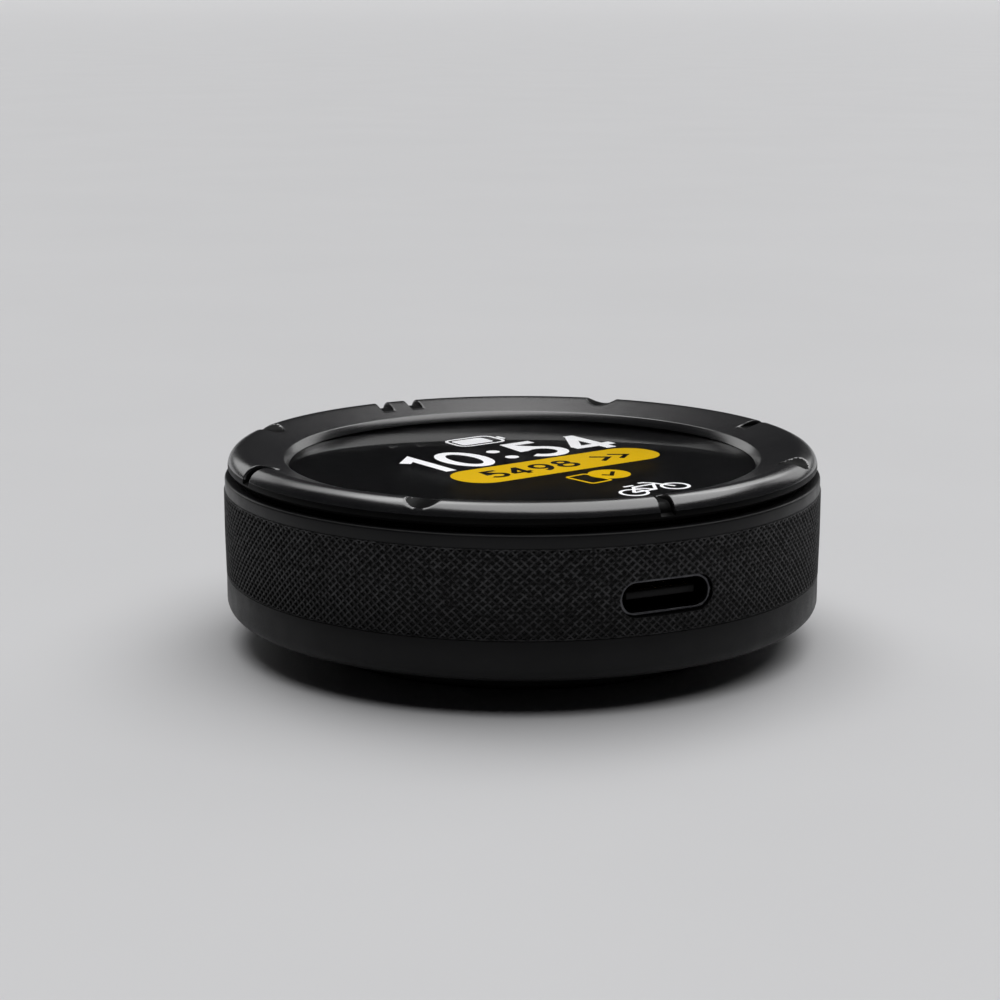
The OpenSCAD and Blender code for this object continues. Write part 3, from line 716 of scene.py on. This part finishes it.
def black_film():
    """Printed black with the faintest mottle."""
    material, tree, shader, where = shader_of("black_film")
    cloud = noise(tree, where, 2, 3)
    tint = mixed(tree, cloud, (0.002, 0.002, 0.0024), (0.003, 0.003, 0.0034))
    tree.links.new(tint, shader.inputs["Base Color"])
    tree.links.new(spread(tree, cloud, 0.3, 0.4), shader.inputs["Roughness"])
    shader.inputs["Specular IOR Level"].default_value = 0.1
    return material


def lit(name, colour, power):
    """A lit part of the screen, with its fine grid of cells."""
    material, tree, shader, where = shader_of(name)
    grid = tree.nodes.new("ShaderNodeTexVoronoi")
    grid.distance = "CHEBYCHEV"
    grid.inputs["Scale"].default_value = 1000 / SCREEN_CELL
    grid.inputs["Randomness"].default_value = 0
    tree.links.new(where, grid.inputs["Vector"])
    dim = tuple(0.86 * c for c in colour)
    shine = mixed(tree, spread(tree, grid.outputs["Distance"], 0, 1, 0.35, 0.5), colour, dim)
    tree.links.new(shine, shader.inputs["Emission Color"])
    shader.inputs["Base Color"].default_value = (0.002, 0.002, 0.002, 1)
    shader.inputs["Specular IOR Level"].default_value = 0.1
    shader.inputs["Emission Strength"].default_value = power
    return material


def gather(total, part, x=0, y=0, turn=0, up=0):
    """Adds one flat shape to the others, moved and turned in the screen's own plane."""
    matrix = Matrix.Translation((x, y, up)) @ Matrix.Rotation(turn, 4, "Z")
    bmesh.ops.transform(part, matrix=matrix, verts=part.verts)
    data = bpy.data.meshes.new("part")
    part.to_mesh(data)
    part.free()
    total.from_mesh(data)
    bpy.data.meshes.remove(data)


def oblong(width, height, radius):
    """Corners of an upright oblong with round corners, about its own centre."""
    w, h = width / 2, height / 2
    return rounded([(-w, -h, radius), (w, -h, radius), (w, h, radius), (-w, h, radius)])


def loop_band(outer, inner):
    """A flat closed band between two outlines with the same number of points."""
    mesh = bmesh.new()
    sides = []
    for outline in (outer, inner):
        points = [mesh.verts.new((x, y, 0)) for x, y in outline]
        sides += [mesh.edges.new(pair) for pair in zip(points, points[1:] + points[:1])]
    bmesh.ops.bridge_loops(mesh, edges=sides)
    grown = bmesh.ops.extrude_face_region(mesh, geom=mesh.faces[:], use_keep_orig=True)
    lifted = [v for v in grown["geom"] if isinstance(v, bmesh.types.BMVert)]
    bmesh.ops.translate(mesh, vec=(0, 0, FIGURE_T), verts=lifted)
    bmesh.ops.recalc_face_normals(mesh, faces=mesh.faces)
    return mesh


def circle_of(radius):
    """Points round a circle about its own centre."""
    turns = [2 * pi * k / CIRCLE_POINTS for k in range(CIRCLE_POINTS)]
    return [Vector((radius * cos(turn), radius * sin(turn))) for turn in turns]


def ribbon(points, width):
    """A flat strip that follows a few points, mitred where it bends."""
    points = [Vector(p) for p in points]
    left, right = [], []
    for i, here in enumerate(points):
        back = (here - points[i - 1]).normalized() if i else (points[1] - here).normalized()
        ahead = (points[i + 1] - here).normalized() if i < len(points) - 1 else back
        across = Vector((-(back + ahead).y, (back + ahead).x)).normalized()
        reach = width / 2 / max(SHARPEST_MITRE, across.dot(Vector((-back.y, back.x))))
        left.append(here + across * reach)
        right.append(here - across * reach)
    return plate(right + left[::-1], 0, FIGURE_T)


def oval(x, y, wide, high, start=0, end=360, steps=CIRCLE_POINTS):
    """Points along an oval or a part of one, from one angle to another in degrees."""
    points = steps if end - start == 360 else steps + 1
    turns = [radians(start + (end - start) * k / steps) for k in range(points)]
    return [(x + wide * cos(turn), y + high * sin(turn)) for turn in turns]


# Figures on a grid one high: closed ovals (x, y, half width, half height), then open strokes
RINGS = {
    "0": [(0.3, 0.5, 0.24, 0.43)],
    "8": [(0.3, 0.71, 0.19, 0.2), (0.3, 0.28, 0.25, 0.24)],
    "9": [(0.29, 0.62, 0.24, 0.28)],
}
STROKES = {
    "1": [[(0.0, 0.72), (0.21, 0.93), (0.21, 0.0)]],
    "4": [[(0.42, 0.0), (0.42, 0.96)], [(0.44, 0.93), (0.05, 0.27)], [(0.0, 0.25), (0.62, 0.25)]],
    "5": [[(0.52, 0.93), (0.13, 0.93), (0.09, 0.53)] + oval(0.27, 0.32, 0.26, 0.26, 125, -150, 20)],
    "9": [oval(0.09, 0.6, 0.44, 0.59, 0, -78, 10)],
}
FIGURE_WIDTHS = {"0": 0.6, "1": 0.26, "4": 0.62, "5": 0.53, "8": 0.6, "9": 0.56, ":": 0.16}
FIGURE_GAP = 0.19


def figures(text, width, height, weight):
    """Figures drawn in strokes, filling that width and height about their own centre."""
    mesh = bmesh.new()
    right = 0
    half = weight / 2
    for mark in text:
        parts = [
            loop_band(oval(x, y, w + half, h + half), oval(x, y, w - half, h - half))
            for x, y, w, h in RINGS.get(mark, [])
        ]
        parts += [ribbon(points, weight) for points in STROKES.get(mark, [])]
        if mark == ":":
            parts += [plate(oval(0.08, y, 0.09, 0.09), 0, FIGURE_T) for y in (0.26, 0.68)]
        for k, part in enumerate(parts):
            gather(mesh, part, right, up=LAYER * k)
        right += FIGURE_WIDTHS[mark] + FIGURE_GAP
    low = Vector([min(v.co[axis] for v in mesh.verts) for axis in (0, 1)])
    high = Vector([max(v.co[axis] for v in mesh.verts) for axis in (0, 1)])
    size = high - low
    bmesh.ops.translate(mesh, vec=(-(low + high).x / 2, -(low + high).y / 2, 0), verts=mesh.verts)
    bmesh.ops.scale(mesh, vec=(width / size.x, height / size.y, 1), verts=mesh.verts)
    return mesh


def show(mesh, name, material, up):
    """Puts flat shapes on the film, turned as the screen's picture is."""
    turn = Matrix.Rotation(SCREEN_TURN, 4, "Z")
    shift = Matrix.Translation((SCREEN_RIGHT, SCREEN_UP, lens_low.z + FILM_UP + FILM_T + up))
    bmesh.ops.transform(mesh, matrix=turn @ shift, verts=mesh.verts)
    place(mesh, name, "face", "display_face", material)


lens_corners = [
    (0, lens_low.z, 0), (lens_high.x, lens_low.z, 0.05),
    (lens_high.x, lens_high.z, 0.08), (0, lens_high.z, 0),
]
place(turned(rounded(lens_corners)), "lens_glass", "face", "lens_glass", clear_glass(), "lens")
FILM_R = lens_high.x - FILM_INSET
film_low = lens_low.z + FILM_UP
film_corners = [
    (0, film_low, 0), (FILM_R, film_low, 0), (FILM_R, film_low + FILM_T, 0.01), (0, film_low + FILM_T, 0),
]
place(turned(rounded(film_corners)), "screen_film", "face", "display_face", black_film())

# The time over a battery sign, both white, and a bicycle near the screen's lower edge
BATTERY_UP = 11.8
BICYCLE_UP = -16
WHEEL = 1.4
WHEEL_OUT = 2.4
white = bmesh.new()
gather(white, figures("10:54", 22.7, 8.2, 0.15), -0.65, 5.4)
battery_edge = loop_band(oblong(5.6, 3.8, 1.1), oblong(5.6 - 2 * LINE, 3.8 - 2 * LINE, 1.1 - LINE))
gather(white, battery_edge, 0.2, BATTERY_UP)
gather(white, plate(oblong(3.7, 2.4, 0.45), 0, FIGURE_T), -0.1, BATTERY_UP)
gather(white, plate(oblong(0.45, 1.3, 0.2), 0, FIGURE_T), 3.35, BATTERY_UP)
for side in (-1, 1):
    gather(white, loop_band(circle_of(WHEEL), circle_of(WHEEL - LINE)), WHEEL_OUT * side, BICYCLE_UP)
bicycle = (
    ((-2.4, 0), (-1.0, 1.8), (1.3, 1.8), (0.1, 0), (-2.4, 0)),
    ((-1.15, 1.4), (0.1, 0)),
    ((0.95, 2.7), (1.5, 2.2), (2.4, 0)),
    ((0.4, 2.85), (1.1, 2.75)),
    ((-1.7, 2.35), (-0.6, 2.35)),
)
for k, points in enumerate(bicycle):
    gather(white, ribbon(points, LINE), 0, BICYCLE_UP, up=LAYER * (k + 1))
show(white, "screen_white", lit("lit_white", (0.86, 0.86, 0.88), 1.4), 0)

# The bar and the ticked badge under the time, both yellow
BAR_UP = -2.25
BADGE = (0.9, -8.4)
yellow = bmesh.new()
gather(yellow, plate(oblong(23.2, 6.0, 2.9), 0, FIGURE_T), -0.4, BAR_UP)
gather(yellow, plate(circle_of(2.0), 0, FIGURE_T), *BADGE)
card = loop_band(oblong(2.7, 3.9, 0.5), oblong(2.7 - 2 * LINE, 3.9 - 2 * LINE, 0.5 - LINE))
gather(yellow, card, -1.9, -8.9, radians(5))
show(yellow, "screen_yellow", lit("lit_yellow", (0.76, 0.47, 0.0), 1.1), 0)

# Black figures and two arrow marks on the bar, and the badge's tick
ARROWS_RIGHT = (5.1, 7.3)
dark = bmesh.new()
gather(dark, figures("5498", 10.4, 3.2, 0.17), -3.5, BAR_UP)
for right in ARROWS_RIGHT:
    gather(dark, ribbon(((-0.8, -1.1), (0.7, 0), (-0.8, 1.1)), 0.5), right, BAR_UP)
gather(dark, ribbon(((-0.8, 0.1), (-0.2, -0.6), (1.0, 0.7)), 0.42), *BADGE)
show(dark, "screen_dark", black_film(), FIGURE_T)


# ---- Charging port ----
# A drawn shell with nickel plating painted nearly black as painted shade in the port's recess, a moulded
# tongue with twelve plated contacts on each face, and a rubber pad that seals the shell to the housing.

CONTACTS = 12
CONTACT_PITCH = 0.5
CONTACT_SIZE = (0.25, 3.2)
CONTACT_T = 0.03
CONTACT_BACK = 0.35
CONTACT_EDGE = 0.05


def plated(name, colour, darker, low, high):
    """Plated metal with faint drawing lines and uneven tarnish."""
    material, tree, shader, where = shader_of(name)
    tarnish = spread(tree, noise(tree, where, 1.2, 5), 0, 1)
    drawn = noise(tree, where, 0.05, 2)
    tree.links.new(mixed(tree, tarnish, colour, darker), shader.inputs["Base Color"])
    tree.links.new(spread(tree, drawn, low, high), shader.inputs["Roughness"])
    shader.inputs["Metallic"].default_value = 1
    raised(tree, shader, (drawn,), (0.002,))
    return material


# The shell's nickel is painted nearly black: painted shade for the recess.
port_nickel_painted_shade = plated("port_nickel_painted_shade", (0.09, 0.09, 0.095), (0.045, 0.045, 0.05), 0.2, 0.34)
chip_black = moulded("chip_black", (0.005, 0.005, 0.005), (0.009, 0.009, 0.009), 0.5, 0.06, 0.004)
place(eased("usb_shell", 0.06), "port_shell", "case", "port_steel", port_nickel_painted_shade, "usb_shell")
place(eased("usb_tongue", 0.12), "port_tongue", "case", "chip_black", chip_black, "usb_tongue")

tongue_low, tongue_high = span("usb_tongue")
contacts = bmesh.new()
for face_up in (tongue_low.z - CONTACT_T, tongue_high.z):
    for k in range(CONTACTS):
        right = (k - (CONTACTS - 1) / 2) * CONTACT_PITCH
        strip = plate(oblong(*CONTACT_SIZE, CONTACT_EDGE), 0, CONTACT_T)
        back = tongue_low.y + CONTACT_BACK + CONTACT_SIZE[1] / 2
        gather(contacts, strip, right, back, up=face_up)
contact_gold = plated("contact_gold", (0.8, 0.52, 0.2), (0.62, 0.38, 0.14), 0.18, 0.3)
place(contacts, "port_contacts", "case", "port_steel", contact_gold)


def refinish(material, *nodes):
    """Gives CAD nodes a finish without touching their meshes."""
    for node in nodes:
        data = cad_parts[node].data
        data.materials.clear()
        data.materials.append(material)


refinish(seal_rubber, "port_gasket")


# ---- Face carrier, the display behind the lens and their fixings ----
# A glass-filled tray screwed to the bezel from behind, with four rubber pads under it that press the
# switches. The display rests on a thin foam cushion, and a soft gasket seals the lens.

def foam(name, colour, lighter, cell):
    """Open foam: small round cells, painted darker toward each cell's middle as painted shade in its
    hollow.
    """
    material, tree, shader, where = shader_of(name)
    cells = tree.nodes.new("ShaderNodeTexVoronoi")
    cells.inputs["Scale"].default_value = 1000 / cell
    tree.links.new(where, cells.inputs["Vector"])
    # Cell walls paler, cell middles darker: painted shade in the hollows; the same share raises the walls.
    wall = spread(tree, cells.outputs["Distance"], 0, 1, 0.2, 0.6)
    tree.links.new(mixed(tree, wall, colour, lighter), shader.inputs["Base Color"])
    tree.links.new(spread(tree, noise(tree, where, 1, 3), 0.85, 0.98), shader.inputs["Roughness"])
    raised(tree, shader, (wall,), (0.05,))
    return material


def panel_glass():
    """The display's own glass, with its matrix of tiny cells just showing."""
    material, tree, shader, where = shader_of("panel_glass")
    matrix = tree.nodes.new("ShaderNodeTexVoronoi")
    matrix.distance = "CHEBYCHEV"
    matrix.inputs["Scale"].default_value = 1000 / SCREEN_CELL
    matrix.inputs["Randomness"].default_value = 0
    tree.links.new(where, matrix.inputs["Vector"])
    cell = spread(tree, matrix.outputs["Distance"], 0, 1, 0.35, 0.5)
    tint = mixed(tree, cell, (0.012, 0.012, 0.015), (0.004, 0.004, 0.005))
    tree.links.new(tint, shader.inputs["Base Color"])
    tree.links.new(spread(tree, noise(tree, where, 5, 4), 0.06, 0.16), shader.inputs["Roughness"])
    return material


housing_plastic = moulded("housing_plastic", (0.012, 0.012, 0.013), (0.02, 0.02, 0.021), 0.5, 0.12)
foam_grey = foam("foam_grey", (0.05, 0.05, 0.052), (0.2, 0.2, 0.205), 0.25)
refinish(housing_plastic, "face_carrier")
refinish(panel_glass(), "display_panel")
refinish(foam_grey, "display_cushion")
refinish(seal_rubber, "lens_gasket", "press_pads")
refinish(steel, "carrier_screws")


# ---- Gimbal ring and its pins ----
# One ring turned from aluminium bar, which lets the face rock two ways. Two steel pins hold it in the
# case and two hold the face in it.

def turned_alloy(name, colour, darker):
    """Bright aluminium with turning lines round its axis and a few blotches."""
    material, tree, shader, where = shader_of(name)
    blotch = spread(tree, noise(tree, where, 3, 5), 0, 1)
    parts = tree.nodes.new("ShaderNodeSeparateXYZ")
    tree.links.new(where, parts.inputs["Vector"])
    level = tree.nodes.new("ShaderNodeCombineXYZ")
    tree.links.new(parts.outputs["Z"], level.inputs["Z"])
    lines = noise(tree, level.outputs["Vector"], 0.08, 2)
    tree.links.new(mixed(tree, blotch, colour, darker), shader.inputs["Base Color"])
    tree.links.new(spread(tree, lines, 0.26, 0.42), shader.inputs["Roughness"])
    shader.inputs["Metallic"].default_value = 1
    raised(tree, shader, (lines,), (0.004,))
    return material


gimbal_alloy = turned_alloy("gimbal_alloy", (0.5, 0.51, 0.53), (0.4, 0.41, 0.43))
refinish(gimbal_alloy, "gimbal_ring")
refinish(steel, "case_pivot_pins", "face_pivot_pins")


# ---- Housing and its seal ----
# The moulded tub that everything inside is screwed to. A red cord ring seals it to the rear case.

refinish(housing_plastic, "main_housing")
refinish(rubber("cord_seal_rubber", (0.25, 0.03, 0.02), (0.33, 0.05, 0.035), 0.45, 0.1), "case_seal")


# ---- Circuit board and what is soldered to it ----
# Green solder mask over copper tracks, with moulded chips, a tinned shield, four snap domes under the
# face's pads and a small sounder. Four screws hold the board on the rear case's posts.

def solder_mask():
    """Green lacquer, darker over bare board and lighter over its copper tracks."""
    material, tree, shader, where = shader_of("solder_mask")
    tracks = tree.nodes.new("ShaderNodeTexBrick")
    tracks.offset = 0.37
    tracks.inputs["Scale"].default_value = 1000
    tracks.inputs["Brick Width"].default_value = 2.3
    tracks.inputs["Row Height"].default_value = 0.42
    tracks.inputs["Mortar Size"].default_value = 0.07
    tracks.inputs["Mortar Smooth"].default_value = 0.2
    tree.links.new(where, tracks.inputs["Vector"])
    patch = spread(tree, noise(tree, where, 4, 3), 0, 1, 0.45, 0.55)
    share = tree.nodes.new("ShaderNodeMath")
    share.operation = "MULTIPLY"
    tree.links.new(tracks.outputs["Fac"], share.inputs[0])
    tree.links.new(patch, share.inputs[1])
    tint = mixed(tree, share.outputs["Value"], (0.012, 0.075, 0.03), (0.035, 0.17, 0.07))
    tree.links.new(tint, shader.inputs["Base Color"])
    tree.links.new(spread(tree, noise(tree, where, 0.6, 3), 0.22, 0.38), shader.inputs["Roughness"])
    raised(tree, shader, (share.outputs["Value"],), (0.02,))
    return material


board_green = solder_mask()
refinish(board_green, "main_board", "battery_board")
refinish(steel, "board_screws")
refinish(plated("dome_steel", (0.66, 0.65, 0.62), (0.52, 0.51, 0.48), 0.16, 0.28), "snap_domes")
tinned = plated("tinned_steel", (0.6, 0.61, 0.62), (0.44, 0.45, 0.46), 0.26, 0.42)
for node, width, slot, material in (
    ("processor_chips", 0.08, "chip_black", chip_black),
    ("sensor_chips", 0.06, "chip_black", chip_black),
    ("shield_can", 0.15, "port_steel", tinned),
    ("sounder", 0.12, "gimbal_alloy", gimbal_alloy),
):
    place(eased(node, width), node + "_eased", "case", slot, material, node)


# ---- Ribbon cable, battery and connectors ----
# An amber film cable carries the display's signals past the gimbal. The battery is a foil pouch on a
# foam pad, with its own small board, two insulated leads and a cream plug.

TRACK_PITCH = 0.4


def amber_film():
    """Amber film over rows of copper tracks that run along the cable."""
    material, tree, shader, where = shader_of("amber_film")
    parts = tree.nodes.new("ShaderNodeSeparateXYZ")
    tree.links.new(where, parts.inputs["Vector"])
    side = tree.nodes.new("ShaderNodeCombineXYZ")
    tree.links.new(parts.outputs["X"], side.inputs["X"])
    rows = tree.nodes.new("ShaderNodeTexWave")
    rows.inputs["Scale"].default_value = 1000 / TRACK_PITCH / 20 * 2 * pi
    rows.inputs["Distortion"].default_value = 0
    tree.links.new(side.outputs["Vector"], rows.inputs["Vector"])
    copper = spread(tree, rows.outputs["Fac"], 0, 1, 0.4, 0.6)
    tree.links.new(mixed(tree, copper, (0.33, 0.13, 0.02), (0.55, 0.25, 0.06)), shader.inputs["Base Color"])
    tree.links.new(spread(tree, noise(tree, where, 2, 4), 0.2, 0.36), shader.inputs["Roughness"])
    raised(tree, shader, (copper,), (0.01,))
    return material


def crinkled_foil():
    """Silver pouch foil with soft creases, painted darker where the creases sink as painted shade."""
    material, tree, shader, where = shader_of("cell_foil")
    creases = noise(tree, where, 5, 6)
    fine = noise(tree, where, 0.3, 2)
    # The crease height also sets the colour, darker in the hollows: painted shade.
    tree.links.new(mixed(tree, creases, (0.45, 0.48, 0.52), (0.58, 0.6, 0.63)), shader.inputs["Base Color"])
    tree.links.new(spread(tree, fine, 0.28, 0.42), shader.inputs["Roughness"])
    shader.inputs["Metallic"].default_value = 1
    raised(tree, shader, (creases, fine), (0.25, 0.004))
    return material


refinish(amber_film(), "display_flex")
refinish(foam_grey, "battery_pad")
refinish(moulded("wire_red", (0.42, 0.03, 0.02), (0.5, 0.05, 0.03), 0.35, 0.2, 0.004), "battery_leads")
cream = moulded("connector_cream", (0.66, 0.6, 0.48), (0.72, 0.67, 0.56), 0.45, 0.15, 0.004)
for node, width, slot, material in (
    ("battery_cell", 0.4, "cell_foil", crinkled_foil()),
    ("flex_connector", 0.06, "connector_cream", cream),
    ("battery_connector", 0.06, "connector_cream", cream),
):
    place(eased(node, width, 3), node + "_eased", "case", slot, material, node)
